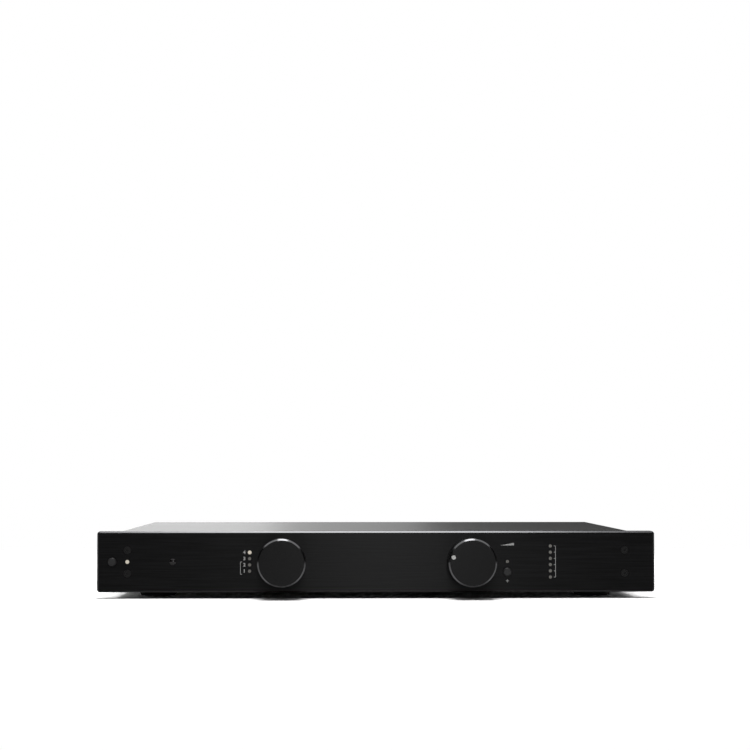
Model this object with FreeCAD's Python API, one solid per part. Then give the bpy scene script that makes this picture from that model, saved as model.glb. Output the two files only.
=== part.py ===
# Desktop digital-to-analogue converter: a full-width aluminium front panel with two large
# knobs, on a folded steel tray with a folded cover, and a connector row at the back.
# Sizes are in millimetres. X runs to the right seen from the front, Y to the back, Z up.
# The pieces are drawn with y = 0 on the front panel's face and z = 0 on the table.
# save() moves them back or forth so that the origin is the middle of the object's footprint.
import FreeCAD, Part
import math
import os

Vector = FreeCAD.Vector
RIGHT = Vector(1, 0, 0)
BACK = Vector(0, 1, 0)
UP = Vector(0, 0, 1)

# Overall
panel_width = 450.0
panel_height = 49.0
panel_thickness = 10.0
case_depth = 270.0
case_side_step = 15.0
ground_gap = 5.0
foot_height = 7.0

# Clearances
running_gap = 0.05
button_gap = 0.15
slip = 0.2
screw_gap = 0.2
retainer_gap = 0.1

# Front panel
panel_corner = 2.5
front_chamfer = 1.2
back_chamfer = 0.5
pocket_wall = 3.5
pocket_half_height = 6.0
pocket_ledge = 1.5
pocket_margin = 6.2
pocket_cover_thickness = 1.2
standby_board_thickness = 1.2

# Folded sheet metal
sheet = 1.5
cover_drop = 0.8
cover_front_gap = 0.5
cover_outer_bend = 2.5
cover_inner_bend = 1.0
side_flange_height = 14.0
rear_flange_height = 6.5
rear_recess = 1.5
rear_sheet = 2.0
corner_ear_width = 12.0
cover_screw_rise = 7.5
cover_screw_inset = 30.0

# Places on the front, from the panel's ends or from its middle
power_button_inset = 12.2
power_light_inset = 24.4
eye_inset = 60.9
panel_screw_inset = 24.4
panel_screw_spread = 9.3
source_lights_x = -102.3
selector_x = -76.0
volume_x = 76.0
gain_x = 105.6
gain_button_drop = 8.35
rate_lights_x = 140.4
light_pitch = 5.0
source_light_count = 4
rate_light_count = 6

# Buttons, lights and the remote-control eye
button_radius = 3.25
button_proud = 1.2
button_edge = 0.4
button_flange_radius = 4.2
button_flange = 0.8
button_stem_radius = 1.6
button_stem = 2.5
button_travel = 0.5
switch_half = 3.0
switch_height = 2.4
light_radius = 1.5
light_proud = 0.5
light_edge = 0.4
light_flange_radius = 2.1
light_flange = 0.8
light_pipe_end_gap = 0.7
light_chip = 0.8
light_chip_half = 1.2
window_half = 3.0
eye_radius = 2.5
eye_dome = 0.9
eye_flange_radius = 3.4
eye_flange = 0.8
eye_module_half_width = 3.0
eye_module_half_height = 3.5
eye_module_height = 2.6
cable_hole_radius = 3.0

# Boards
board_thickness = 1.6
indicator_board_gap = 4.5
indicator_board_margin = 3.5
source_board_left = 15.7
source_board_right = 9.3
level_board_left = 11.6
level_board_right = 11.6
spacer_radius = 2.5
spacer_stub_radius = 2.0
spacer_bore_radius = 1.5
spacer_bore_depth = 4.0
spacer_inset = 4.0
board_screw_radius = 1.45
board_screw_length = 5.0
board_screw_head_radius = 2.5
board_screw_head = 1.8
board_height = 6.0

# Knobs, shafts and what they turn
knob_radius = 19.25
knob_length = 23.0
knob_gap = 1.0
knob_front_chamfer = 1.2
knob_rear_chamfer = 0.5
knob_bore_gap = 0.03
knob_bore_depth = 19.0
shaft_radius = 3.0
grub_radius = 1.5
grub_length = 6.0
grub_depth = 8.0
pointer_radius = 1.7
pointer_depth = 1.0
pointer_ring = 15.9
pointer_angle = 73.6
bushing_radius = 5.0
bushing_reach = 6.0
bushing_nut_flats = 14.0
bushing_nut_height = 2.5
nut_room_radius = 9.5
selector_body_radius = 13.0
selector_body_depth = 20.0
volume_body_half = 13.5
volume_body_depth = 24.0
gear_module = 0.5
gear_teeth = 42
pinion_teeth = 14
gear_width = 3.0
gear_backlash = 0.12
gear_spread = 0.1
gear_addendum = 0.9
gear_dedendum = 1.25
gear_pressure_angle = math.radians(20)
gear_gap = 1.5
gear_bore_radius = 2.0
gear_plate_thickness = 1.5
gear_plate_gap = 1.0
gear_plate_overhang = 14.5
gear_post_radius = 1.75
gear_post_inset = 2.5
motor_radius = 10.0
motor_length = 23.5
motor_spindle_radius = 1.0
motor_spindle_depth = 5.0
spindle_hole_radius = 1.6

# Feet and fasteners
foot_radius = 15.0
foot_edge = 1.0
foot_side_inset = 30.0
foot_front_inset = 35.0
foot_rear_inset = 35.0
foot_counterbore_radius = 4.0
foot_counterbore = 3.5
foot_screw_radius = 2.0
foot_screw_head_radius = 3.5
foot_screw_head = 2.5
foot_nut_flats = 7.0
foot_nut_height = 3.0
screw_radius = 1.5
panel_screw_head_radius = 2.75
panel_screw_head = 3.0
panel_screw_sink = 0.2
panel_screw_key = 2.5
key_depth = 1.6
nut_flats = 5.5
nut_height = 2.4
low_head_radius = 2.8
low_head_height = 1.65
low_head_key = 2.0

# Mains transformer
transformer_radius = 42.0
transformer_hole_radius = 12.0
transformer_edge = 7.0
transformer_side_gap = 15.0
transformer_front_gap = 40.0
transformer_pad = 1.5
clamp_washer_radius = 30.0
clamp_washer = 1.5
clamp_bolt_radius = 3.0
clamp_bolt_head_radius = 5.0
clamp_bolt_head = 3.5
clamp_nut_flats = 10.0
clamp_nut_height = 5.0
clamp_headroom = 2.7

# Rear connectors: widths of the row from the mains inlet to the last output socket
row_margin = 18.0
inlet_width = 50.0
mains_switch_width = 17.0
option_width = 62.0
socket_width = 14.0
optical_width = 16.0
balanced_width = 26.0
flange = 2.0
inlet_height = 32.0
inlet_body_width = 28.0
inlet_body_height = 30.0
inlet_body_depth = 22.0
inlet_cavity_width = 24.4
inlet_cavity_height = 16.8
inlet_cavity_depth = 17.0
inlet_cavity_rise = 5.0
inlet_cavity_corner = 4.5
inlet_screw_spread = 20.0
blade_width = 4.0
blade_thickness = 2.0
blade_spread = 7.0
blade_drop = 2.0
blade_recess = 4.0
blade_tail = 4.5
drawer_drop = 9.0
drawer_width = 23.0
drawer_height = 7.0
drawer_depth = 19.0
drawer_lip = 1.5
drawer_lip_margin = 0.5
drawer_pocket_depth = 20.0
fuse_radius = 2.5
fuse_length = 20.0
mains_switch_height = 21.0
mains_switch_body_depth = 14.0
mains_switch_wall = 1.3
rocker_radius = 8.3
rocker_width = 11.0
rocker_face = 1.0
rocker_slope = math.radians(10)
rocker_rest_tilt = 10.0
rocker_pivot_depth = 1.5
trunnion_radius = 1.2
trunnion_length = 0.9
rca_washer_radius = 7.0
rca_washer = 1.0
rca_flange_radius = 6.5
rca_flange = 1.5
rca_barrel_radius = 4.15
rca_reach = 11.0
rca_bore_radius = 3.3
rca_neck_radius = 4.6
rca_neck_length = 8.5
rca_nut_flats = 12.0
rca_contact_radius = 2.2
rca_contact_bore = 1.65
rca_contact_bore_depth = 9.0
rca_contact_tail = 6.0
rca_mouth_depth = 1.0
balanced_height = 31.0
balanced_shell_radius = 11.6
balanced_shell_depth = 22.0
balanced_bore_radius = 9.6
balanced_insert_depth = 15.0
balanced_insert = 8.0
balanced_pin_radius = 1.2
balanced_pin_circle = 4.0
balanced_pin_recess = 4.0
balanced_pin_tail = 5.0
balanced_screw_x = 9.5
balanced_screw_z = 12.0
optical_face_width = 15.0
optical_face_height = 13.0
optical_proud = 1.5
optical_shoulder = 1.0
optical_depth = 14.5
optical_cavity_width = 9.6
optical_cavity_height = 8.8
optical_cavity_depth = 14.0
flap_side_gap = 0.2
flap_thickness = 0.8
flap_length = 7.6
flap_pivot_drop = 0.9
flap_pivot_depth = 1.2
flap_pin_radius = 0.6
flap_pin_length = 0.6
option_plate_height = 34.0
option_plate_thickness = 1.5
option_plate_lap = 5.0
option_screw_inset = 3.0
connector_screw_head_radius = 2.75
connector_screw_head = 1.8
connector_screw_length = 8.0

# Wiring
wire_radius = 1.2
cable_radius = 2.0
ribbon_radius = 1.6
wire_bend = 6.0
header_height = 9.0
header_depth = 6.0

# Worked out from the values above
half_panel = panel_width / 2
panel_bottom = ground_gap
panel_top = panel_bottom + panel_height
axis_height = (panel_bottom + panel_top) / 2
case_bottom = foot_height
case_top = panel_top - cover_drop
tray_floor = case_bottom + sheet
ceiling = case_top - sheet
case_half = half_panel - case_side_step
tray_half = case_half - sheet - slip
front_wall_back = panel_thickness + sheet
case_rear = panel_thickness + case_depth
rear_face = case_rear - rear_recess
rear_inside = rear_face - rear_sheet
connector_height = (tray_floor + ceiling) / 2

power_button_x = -(half_panel - power_button_inset)
power_light_x = -(half_panel - power_light_inset)
eye_x = -(half_panel - eye_inset)
panel_screw_x = half_panel - panel_screw_inset
gain_button_z = axis_height - gain_button_drop
source_light_places = [(source_lights_x, axis_height + light_pitch * (i - (source_light_count - 1) / 2))
                       for i in range(source_light_count)]
rate_light_places = [(rate_lights_x, axis_height + light_pitch * (i - (rate_light_count - 1) / 2))
                     for i in range(rate_light_count)]

standby_board_seat = panel_thickness - pocket_cover_thickness - standby_board_thickness
pocket_left = power_button_x - pocket_margin
pocket_right = eye_x + pocket_margin + 1
indicator_board_face = front_wall_back + indicator_board_gap
indicator_board_bottom = tray_floor + indicator_board_margin
indicator_board_top = ceiling - indicator_board_margin
source_board_x = (source_lights_x - source_board_left, source_lights_x + source_board_right)
level_board_x = (gain_x - level_board_left, rate_lights_x + level_board_right)

knob_front = -(knob_gap + knob_length)
shaft_front = -knob_gap - knob_bore_depth + 1
bushing_front = panel_thickness - bushing_reach
selector_body_back = front_wall_back + selector_body_depth
volume_body_back = front_wall_back + volume_body_depth
gear_front = volume_body_back + gear_gap
gear_back = gear_front + gear_width
gear_plate_front = gear_back + gear_plate_gap
gear_plate_back = gear_plate_front + gear_plate_thickness
gear_distance = gear_module * (gear_teeth + pinion_teeth) / 2 + gear_spread
motor_x = volume_x + gear_distance

foot_places = [(side * (case_half - foot_side_inset), y)
               for side in (-1, 1)
               for y in (panel_thickness + foot_front_inset, case_rear - foot_rear_inset)]

transformer_x = -(tray_half - sheet - transformer_side_gap - transformer_radius)
transformer_y = panel_thickness + transformer_front_gap + transformer_radius
transformer_bottom = tray_floor + transformer_pad
transformer_top = (ceiling - clamp_headroom - clamp_nut_height - clamp_washer - transformer_pad)
clamp_washer_bottom = transformer_top + transformer_pad

board_bottom = tray_floor + board_height
board_top = board_bottom + board_thickness
board_rear = rear_inside - 36.0
power_board_front = transformer_y + transformer_radius + 12.0
power_board_x = (-(tray_half - sheet - 10.0), transformer_x + transformer_radius + 14.0)
main_board_x = (power_board_x[1] + 14.0, tray_half - sheet - 7.0)
main_board_front = volume_body_back + 40.0

row_widths = [inlet_width, mains_switch_width, option_width, socket_width, optical_width,
              socket_width, socket_width, socket_width, socket_width, balanced_width, balanced_width]
row_gap = (2 * (tray_half - row_margin) - sum(row_widths)) / (len(row_widths) - 1)


def row_centre(index):
    """Middle of one connector in the rear row, counted from the mains inlet."""
    start = -(tray_half - row_margin) + sum(row_widths[:index]) + index * row_gap
    return start + row_widths[index] / 2


inlet_x = row_centre(0)
mains_switch_x = row_centre(1)
option_x = row_centre(2)
optical_x = row_centre(4)
rca_places = [row_centre(i) for i in (3, 5, 6, 7, 8)]
balanced_places = [row_centre(i) for i in (9, 10)]
inlet_cavity_z = connector_height + inlet_cavity_rise
drawer_z = connector_height - drawer_drop
mains_pivot_y = rear_face + flange - rocker_pivot_depth
flap_pivot_y = rear_face + optical_proud - flap_pivot_depth
flap_pivot_z = connector_height + optical_cavity_height / 2 - flap_pivot_drop
rca_end = rear_face + rca_reach
depth_shift = -(knob_front + rca_end) / 2


# ---- simple bodies ----

def block(x0, x1, y0, y1, z0, z1):
    return Part.makeBox(x1 - x0, y1 - y0, z1 - z0, Vector(x0, y0, z0))


def block_about(x, z, width, height, y0, y1):
    """A bar along Y with its section centred on (x, z)."""
    return block(x - width / 2, x + width / 2, y0, y1, z - height / 2, z + height / 2)


def rod(x, z, radius, y0, y1):
    return Part.makeCylinder(radius, y1 - y0, Vector(x, y0, z), BACK)


def post(x, y, radius, z0, z1):
    return Part.makeCylinder(radius, z1 - z0, Vector(x, y, z0), UP)


def cross_pin(y, z, radius, x0, x1):
    return Part.makeCylinder(radius, x1 - x0, Vector(x0, y, z), RIGHT)


def joined(shapes):
    return shapes[0].fuse(shapes[1:]).removeSplitter()


def group(shapes):
    return Part.Compound(shapes)


def pointed(shape, seat, direction):
    """Turn a piece that was drawn upwards from the origin, and set it on its seat."""
    shape.Placement = FreeCAD.Placement(seat, FreeCAD.Rotation(UP, direction))
    return shape


def hexagon(flats, height):
    corner = flats / math.sqrt(3)
    points = [Vector(corner * math.cos(math.radians(60 * i)), corner * math.sin(math.radians(60 * i)), 0)
              for i in range(7)]
    return Part.Face(Part.makePolygon(points)).extrude(UP * height)


def nut(flats, height, bore, seat, direction):
    ring = hexagon(flats, height).cut(Part.makeCylinder(bore, height))
    return pointed(ring, seat, direction)


def screw(radius, length, head_radius, head_height, key, seat, outward):
    """Head outside the seat, shank behind it, and a hexagon socket in the head."""
    head = Part.makeCylinder(head_radius, head_height)
    shank = Part.makeCylinder(radius, length, Vector(0, 0, -length))
    socket = hexagon(key, head_height)
    socket.translate(UP * max(head_height - key_depth, head_height * 0.4))
    return pointed(head.fuse(shank).removeSplitter().cut(socket), seat, outward)


def edges_at(shape, axis, place):
    """Edges that lie wholly in the plane where X, Y or Z has one value."""
    return [edge for edge in shape.Edges
            if abs(getattr(edge.BoundBox, axis + "Min") - place) < 0.01
            and abs(getattr(edge.BoundBox, axis + "Max") - place) < 0.01]


def edges_along(shape, axis, length):
    return [edge for edge in shape.Edges if abs(getattr(edge.BoundBox, axis + "Length") - length) < 0.01]


def tube_along(points, radius, bend):
    """A wire: straight runs joined by arcs that are tangent to both runs."""
    path = []
    start = points[0]
    for before, corner, after in zip(points, points[1:], points[2:]):
        arriving = (corner - before).normalize()
        leaving = (after - corner).normalize()
        half_turn = arriving.getAngle(leaving) / 2
        setback = bend * math.tan(half_turn)
        inward = (leaving - arriving).normalize()
        middle = corner + inward * (bend / math.cos(half_turn) - bend)
        bend_start = corner - arriving * setback
        bend_end = corner + leaving * setback
        path.append(Part.makeLine(start, bend_start))
        path.append(Part.Arc(bend_start, middle, bend_end).toShape())
        start = bend_end
    path.append(Part.makeLine(start, points[-1]))
    section = Part.Wire(Part.makeCircle(radius, points[0], points[1] - points[0]))
    return Part.Wire(path).makePipeShell([section], True, False)


# ---- front panel and what sits in it ----

def front_panel():
    """Thick anodised plate with rounded corners, a bright chamfer and a milled pocket behind."""
    plate = block(-half_panel, half_panel, 0, panel_thickness, panel_bottom, panel_top)
    plate = plate.makeFillet(panel_corner, edges_along(plate, "Y", panel_thickness))
    plate = plate.makeChamfer(front_chamfer, edges_at(plate, "Y", 0))
    plate = plate.makeChamfer(back_chamfer, edges_at(plate, "Y", panel_thickness))
    through = (-1, panel_thickness + 1)
    holes = [rod(x, axis_height, nut_room_radius, *through) for x in (selector_x, volume_x)]
    lights = source_light_places + rate_light_places + [(gain_x, axis_height), (power_light_x, axis_height)]
    holes += [rod(x, z, light_radius + running_gap, *through) for x, z in lights]
    for x, z in ((power_button_x, axis_height), (gain_x, gain_button_z)):
        holes.append(rod(x, z, button_radius + button_gap, *through))
    holes.append(rod(eye_x, axis_height, eye_radius + running_gap, *through))
    for x, z in panel_screw_places():
        holes.append(rod(x, z, screw_radius + screw_gap, *through))
        holes.append(rod(x, z, panel_screw_head_radius + screw_gap, -1, panel_screw_head + panel_screw_sink))
    bottom = axis_height - pocket_half_height
    top = axis_height + pocket_half_height
    holes.append(block(pocket_left, pocket_right, standby_board_seat, panel_thickness, bottom, top))
    holes.append(block(pocket_left + pocket_ledge, pocket_right - pocket_ledge,
                       pocket_wall, standby_board_seat, bottom, top))
    return plate.cut(holes)


def panel_screw_places():
    return [(side * panel_screw_x, axis_height + up * panel_screw_spread)
            for side in (-1, 1) for up in (-1, 1)]


def panel_screws():
    length = nut_height + front_wall_back - panel_screw_head - panel_screw_sink
    return group([screw(screw_radius, length, panel_screw_head_radius, panel_screw_head, panel_screw_key,
                        Vector(x, panel_screw_head + panel_screw_sink, z), -BACK)
                  for x, z in panel_screw_places()])


def pocket_cover():
    """Closes the milled pocket and clamps the standby board in it."""
    plate = block(pocket_left, pocket_right, panel_thickness - pocket_cover_thickness, panel_thickness,
                  axis_height - pocket_half_height, axis_height + pocket_half_height)
    return plate.cut(rod(eye_x, axis_height, cable_radius + screw_gap, 0, panel_thickness))


def standby_board():
    """Narrow board behind the power button, with the power light and the remote-control receiver."""
    back = panel_thickness - pocket_cover_thickness
    half_height = pocket_half_height - slip
    board = block(pocket_left + slip, pocket_right - slip, standby_board_seat, back,
                  axis_height - half_height, axis_height + half_height)
    chip = block_about(power_light_x, axis_height, 2 * light_chip_half, 2 * light_chip_half,
                       standby_board_seat - light_chip, standby_board_seat)
    receiver = block_about(eye_x, axis_height, 2 * eye_module_half_width, 2 * eye_module_half_height,
                           standby_board_seat - eye_module_height, standby_board_seat)
    return group([board, chip, receiver])


def button(x, z, seat):
    """Cap through the panel, a flange that stops it from behind, and a stem into its switch."""
    flange_front = seat + retainer_gap
    flange_back = flange_front + button_flange
    cap = rod(x, z, button_radius, -button_proud, flange_front)
    cap = cap.makeChamfer(button_edge, edges_at(cap, "Y", -button_proud))
    collar = rod(x, z, button_flange_radius, flange_front, flange_back)
    stem = rod(x, z, button_stem_radius, flange_back, flange_back + button_stem)
    return joined([cap, collar, stem])


def push_switch(x, z, board_face):
    """Small switch that a button's stem slides in."""
    body = block_about(x, z, 2 * switch_half, 2 * switch_half, board_face - switch_height, board_face)
    return body.cut(rod(x, z, button_stem_radius + running_gap, 0, board_face))


def light_pipe(x, z, flange_front, end):
    """Clear rod that carries one light to the panel's face, stopped by a flange."""
    pipe = rod(x, z, light_radius, -light_proud, end)
    pipe = pipe.makeFillet(light_edge, edges_at(pipe, "Y", -light_proud))
    return joined([pipe, rod(x, z, light_flange_radius, flange_front, flange_front + light_flange)])


def light_pipes(places):
    end = indicator_board_face - light_chip - light_pipe_end_gap
    return group([light_pipe(x, z, panel_thickness, end) for x, z in places])


def ir_lens():
    """Dark domed window of the remote-control receiver."""
    barrel = rod(eye_x, axis_height, eye_radius, -eye_dome, pocket_wall + eye_flange)
    ball_radius = (eye_radius ** 2 + eye_dome ** 2) / (2 * eye_dome)
    ball = Part.makeSphere(ball_radius, Vector(eye_x, ball_radius - eye_dome, axis_height))
    collar = rod(eye_x, axis_height, eye_flange_radius, pocket_wall, pocket_wall + eye_flange)
    return joined([collar, barrel.common(ball)])


# ---- tray, cover and rear panel ----

def cover_screw_places():
    middle = (panel_thickness + case_rear) / 2
    return [(side, y) for side in (-1, 1)
            for y in (panel_thickness + cover_screw_inset, middle, case_rear - cover_screw_inset)]


def rear_panel_screw_places():
    x = tray_half - corner_ear_width / 2 - sheet
    return [(side * x, z) for side in (-1, 1) for z in (tray_floor + 4, ceiling - 6)]


def indicator_spacer_places():
    return [(x, z) for left, right in (source_board_x, level_board_x)
            for x in (left + spacer_inset, right - spacer_inset)
            for z in (indicator_board_bottom + spacer_inset, indicator_board_top - spacer_inset)]


def board_spacer_places():
    places = []
    for (left, right), front in ((power_board_x, power_board_front), (main_board_x, main_board_front)):
        columns = [left + spacer_inset, right - spacer_inset]
        if right - left > 4 * transformer_radius:
            columns.append((rca_places[2] + rca_places[3]) / 2)
        places += [(x, y) for x in columns for y in (front + spacer_inset, board_rear - spacer_inset)]
    return places


def base_tray():
    """Folded steel tray: floor, front wall behind the panel, side and rear flanges, rear ears."""
    cover_line = ceiling - cover_inner_bend
    walls = [
        block(-tray_half, tray_half, panel_thickness, rear_inside, case_bottom, tray_floor),
        block(-tray_half, tray_half, panel_thickness, front_wall_back, case_bottom, cover_line),
        block(-tray_half, tray_half, rear_inside - sheet, rear_inside, case_bottom,
              case_bottom + rear_flange_height)]
    for side in (-1, 1):
        outer, inner = sorted((side * tray_half, side * (tray_half - sheet)))
        walls.append(block(outer, inner, panel_thickness, rear_inside, case_bottom,
                           case_bottom + side_flange_height))
        outer, inner = sorted((side * tray_half, side * (tray_half - corner_ear_width)))
        walls.append(block(outer, inner, rear_inside - sheet, rear_inside, case_bottom, cover_line))
    wall = (panel_thickness - 1, front_wall_back + 1)
    holes = [rod(x, axis_height, bushing_radius + retainer_gap, *wall) for x in (selector_x, volume_x)]
    for x, places in ((source_lights_x, source_light_places), (rate_lights_x, rate_light_places)):
        reach = light_pitch * len(places) + 2 * retainer_gap
        holes.append(block_about(x, axis_height, 2 * window_half, reach, *wall))
    holes.append(rod(gain_x, axis_height, window_half, *wall))
    holes.append(rod(gain_x, gain_button_z, button_radius + 2 * button_gap, *wall))
    holes.append(rod(eye_x, axis_height, cable_hole_radius, *wall))
    holes += [rod(x, z, screw_radius + screw_gap, *wall) for x, z in panel_screw_places()]
    holes += [rod(x, z, spacer_stub_radius, *wall) for x, z in indicator_spacer_places()]
    holes += [rod(x, z, screw_radius + screw_gap, rear_inside - sheet - 1, rear_inside + 1)
              for x, z in rear_panel_screw_places()]
    deck = (case_bottom - 1, tray_floor + 1)
    holes += [post(x, y, foot_screw_radius + screw_gap, *deck) for x, y in foot_places]
    holes += [post(x, y, spacer_stub_radius, *deck) for x, y in board_spacer_places()]
    holes.append(post(transformer_x, transformer_y, clamp_bolt_radius + screw_gap, *deck))
    holes += [cross_pin(y, case_bottom + cover_screw_rise, screw_radius + screw_gap,
                        side * tray_half - 2 * sheet, side * tray_half + 2 * sheet)
              for side, y in cover_screw_places()]
    return joined(walls).cut(holes + tray_vents(deck))


def tray_vents(deck):
    """Rows of short slots in the floor below the boards."""
    slot_length = 26.0
    slot_width = 3.0
    slot_pitch = 10.0
    slots = []
    for centre_x in ((power_board_x[0] + power_board_x[1]) / 2, main_board_x[0] + 60, main_board_x[1] - 60):
        for i in range(-3, 4):
            y = (power_board_front + board_rear) / 2 + i * slot_pitch
            slots.append(block(centre_x - slot_length / 2, centre_x + slot_length / 2,
                               y - slot_width / 2, y + slot_width / 2, *deck))
    return slots


def top_cover():
    """Folded steel cover: top and two sides with rounded bends."""
    front = panel_thickness + cover_front_gap
    outer = block(-case_half, case_half, front, case_rear, case_bottom, case_top)
    length = case_rear - front
    outer = outer.makeFillet(cover_outer_bend, [edge for edge in edges_along(outer, "Y", length)
                                                if edge.BoundBox.ZMin > case_top - sheet])
    inner_half = case_half - sheet
    inner = block(-inner_half, inner_half, front, case_rear, case_bottom, ceiling)
    inner = inner.makeFillet(cover_inner_bend, [edge for edge in edges_along(inner, "Y", length)
                                                if edge.BoundBox.ZMin > ceiling - sheet])
    holes = [cross_pin(y, case_bottom + cover_screw_rise, screw_radius + screw_gap,
                       side * case_half - 2 * sheet, side * case_half + 2 * sheet)
             for side, y in cover_screw_places()]
    return outer.cut([inner] + holes)


def cover_screws():
    """Low-headed screws through the cover's sides into the tray's side flanges."""
    length = sheet + slip + sheet + nut_height
    return group([screw(screw_radius, length, low_head_radius, low_head_height, low_head_key,
                        Vector(side * case_half, y, case_bottom + cover_screw_rise), RIGHT * side)
                  for side, y in cover_screw_places()])


def rear_panel():
    """Steel plate that carries the connectors, with an opening for each."""
    top = ceiling - slip
    plate = block(-tray_half, tray_half, rear_inside, rear_face, case_bottom, top)
    plate = plate.makeFillet(cover_inner_bend, [edge for edge in edges_along(plate, "Y", rear_sheet)
                                                if edge.BoundBox.ZMin > top - slip])
    through = (rear_inside - 1, rear_face + 1)
    mid = connector_height
    holes = [block_about(inlet_x, mid, inlet_body_width, inlet_body_height, *through),
             block_about(mains_switch_x, mid, mains_switch_width - 3, mains_switch_height - 2, *through),
             block_about(option_x, mid, option_width - 2 * option_plate_lap,
                         option_plate_height - 2 * option_plate_lap, *through),
             block_about(optical_x, mid, optical_face_width, optical_face_height, *through)]
    holes += [rod(x, mid, rca_neck_radius + slip, *through) for x in rca_places]
    holes += [rod(x, mid, balanced_shell_radius, *through) for x in balanced_places]
    places = rear_panel_screw_places() + connector_screw_places()
    holes += [rod(x, z, screw_radius + screw_gap, *through) for x, z in places]
    return plate.cut(holes)


def rear_panel_screws():
    length = rear_sheet + sheet + nut_height
    return group([screw(screw_radius, length, connector_screw_head_radius, connector_screw_head, low_head_key,
                        Vector(x, rear_face, z), BACK)
                  for x, z in rear_panel_screw_places()])


def feet():
    """Moulded rubber feet, each with a counterbore for its screw."""
    pads = []
    for x, y in foot_places:
        pad = post(x, y, foot_radius, 0, foot_height)
        pad = pad.makeChamfer(foot_edge, edges_at(pad, "Z", 0))
        pads.append(pad.cut([post(x, y, foot_counterbore_radius, -1, foot_counterbore),
                             post(x, y, foot_screw_radius + screw_gap, 0, foot_height)]))
    return group(pads)


def foot_screws():
    length = foot_height - foot_counterbore + sheet + foot_nut_height
    return group([screw(foot_screw_radius, length, foot_screw_head_radius, foot_screw_head, panel_screw_key,
                        Vector(x, y, foot_counterbore), -UP)
                  for x, y in foot_places])


def press_nuts():
    """Nuts pressed into the tray behind every screw that pulls on it."""
    bore = screw_radius + running_gap
    nuts = [nut(foot_nut_flats, foot_nut_height, foot_screw_radius + running_gap,
                Vector(x, y, tray_floor), UP) for x, y in foot_places]
    nuts += [nut(nut_flats, nut_height, bore, Vector(x, front_wall_back, z), BACK)
             for x, z in panel_screw_places()]
    nuts += [nut(nut_flats, nut_height, bore, Vector(x, rear_inside - sheet, z), -BACK)
             for x, z in rear_panel_screw_places()]
    nuts += [nut(nut_flats, nut_height, bore,
                 Vector(side * (tray_half - sheet), y, case_bottom + cover_screw_rise), RIGHT * -side)
             for side, y in cover_screw_places()]
    return group(nuts)


# ---- knobs, shafts, switches and the motor drive ----

def knob(x):
    """Solid turned aluminium knob with a bright front chamfer, locked by a grub screw from below."""
    body = rod(x, axis_height, knob_radius, knob_front, -knob_gap)
    body = body.makeChamfer(knob_front_chamfer, edges_at(body, "Y", knob_front))
    body = body.makeChamfer(knob_rear_chamfer, edges_at(body, "Y", -knob_gap))
    grub_y = -grub_depth
    tapped = post(x, grub_y, grub_radius + running_gap, axis_height - knob_radius, axis_height)
    bore = rod(x, axis_height, shaft_radius + knob_bore_gap, -knob_gap - knob_bore_depth, 0)
    grub = post(x, grub_y, grub_radius, axis_height - shaft_radius - grub_length, axis_height - shaft_radius)
    return body.cut([tapped, bore]), grub


def selector_knob():
    return group(list(knob(selector_x)))


def volume_knob():
    """Same knob, with a small pocket for the white position mark."""
    body, grub = knob(volume_x)
    pocket = rod(*pointer_place(), pointer_radius, knob_front - 1, knob_front + pointer_depth)
    return group([body.cut(pocket), grub])


def pointer_place():
    angle = math.radians(pointer_angle)
    return volume_x - pointer_ring * math.sin(angle), axis_height + pointer_ring * math.cos(angle)


def volume_pointer():
    return rod(*pointer_place(), pointer_radius, knob_front, knob_front + pointer_depth)


def control_bushing(x):
    return rod(x, axis_height, bushing_radius, bushing_front, front_wall_back)


def selector_switch():
    """Rotary switch, held to the front wall by its bushing and nut."""
    body = rod(selector_x, axis_height, selector_body_radius, front_wall_back, selector_body_back)
    bore = rod(selector_x, axis_height, shaft_radius + running_gap, bushing_front, selector_body_back - 1)
    return joined([body, control_bushing(selector_x)]).cut(bore)


def selector_shaft():
    return rod(selector_x, axis_height, shaft_radius, shaft_front, selector_body_back - 1.5)


def volume_pot():
    """Volume control with its shaft carried through to the motor drive."""
    size = 2 * volume_body_half
    body = block_about(volume_x, axis_height, size, size, front_wall_back, volume_body_back)
    bore = rod(volume_x, axis_height, shaft_radius + running_gap, bushing_front, volume_body_back)
    return joined([body, control_bushing(volume_x)]).cut(bore)


def volume_shaft():
    thick = rod(volume_x, axis_height, shaft_radius, shaft_front, gear_front)
    thin = rod(volume_x, axis_height, gear_bore_radius, gear_front, gear_back)
    return joined([thick, thin])


def panel_nuts():
    """Nuts on the threaded bushings of the controls and on the necks of the phono sockets."""
    nuts = [nut(bushing_nut_flats, bushing_nut_height, bushing_radius,
                Vector(x, panel_thickness, axis_height), -BACK)
            for x in (selector_x, volume_x)]
    nuts += [nut(rca_nut_flats, bushing_nut_height, rca_neck_radius,
                 Vector(x, rear_inside, connector_height), -BACK) for x in rca_places]
    return group(nuts)


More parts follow.
